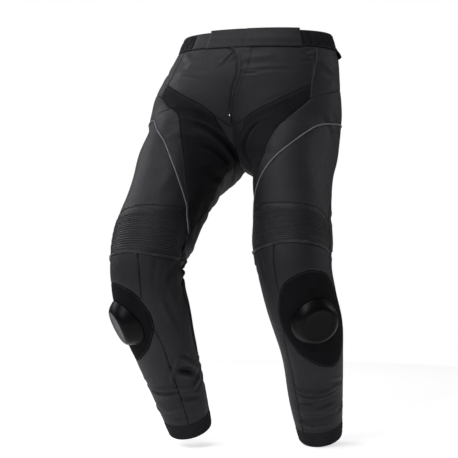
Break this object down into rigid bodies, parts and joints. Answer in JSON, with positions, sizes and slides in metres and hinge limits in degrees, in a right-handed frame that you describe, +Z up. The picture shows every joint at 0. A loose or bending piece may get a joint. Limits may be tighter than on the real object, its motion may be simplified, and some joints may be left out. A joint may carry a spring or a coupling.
{
  "type": "leather motorcycle trousers",
  "caption": "Worn-shape leather motorcycle trousers with ribbed stretch knees, stretch panels, piping, hook-and-loop knee patches and knee sliders; open waist and hems, legs bent.",
  "frame": {"origin": "centre of the waist opening, at the height of the waistband's edge", "axes": "+Z up, the wearer faces -Y, the wearer's left is +X"},
  "size_m": [0.5021, 0.4029, 0.9437],
  "materials": {
    "leather": "black grained cowhide, semi-matt",
    "stretch": "black woven stretch fabric, matt",
    "hook_patch": "black hook-and-loop pile, matt",
    "elastic": "black webbing and elastic, matt",
    "piping": "grey reflective piping",
    "slider": "black moulded plastic, satin",
    "metal": "polished zip stop"
  },
  "bodies": {
    "root": {"adjuster_left": "elastic", "adjuster_right": "elastic", "calf_stretch_left": "stretch", "calf_stretch_right": "stretch", "connector_flap": "elastic", "cuff_left": "elastic", "cuff_right": "elastic", "fly_placket": "leather", "front_panel_left": "leather", "front_panel_right": "leather", "gusset": "leather", "heel_panel_left": "leather", "heel_panel_right": "leather", "inner_leg_left": "leather", "inner_leg_right": "leather", "knee_panel_left": "leather", "knee_panel_right": "leather", "knee_patch_left": "hook_patch", "knee_patch_right": "hook_patch", "knee_ribs_left": "leather", "knee_ribs_right": "leather", "knee_slider_left": "slider", "knee_slider_right": "slider", "knee_welt_left": "leather", "knee_welt_right": "leather", "outer_calf_left": "leather", "outer_calf_right": "leather", "seat_panel_left": "leather", "seat_panel_right": "leather", "shin_panel_left": "leather", "shin_panel_right": "leather", "side_panel_left": "leather", "side_panel_right": "leather", "stretch_panel_left": "stretch", "stretch_panel_right": "stretch", "thigh_back_left": "leather", "thigh_back_right": "leather", "thigh_crescent_left": "leather", "thigh_crescent_right": "leather", "thigh_front_left": "leather", "thigh_front_right": "leather", "thigh_piping_left": "piping", "thigh_piping_right": "piping", "waistband_back": "leather", "waistband_end": "leather", "waistband_tab": "leather", "zip_stop": "metal"}
  },
  "joints": []
}
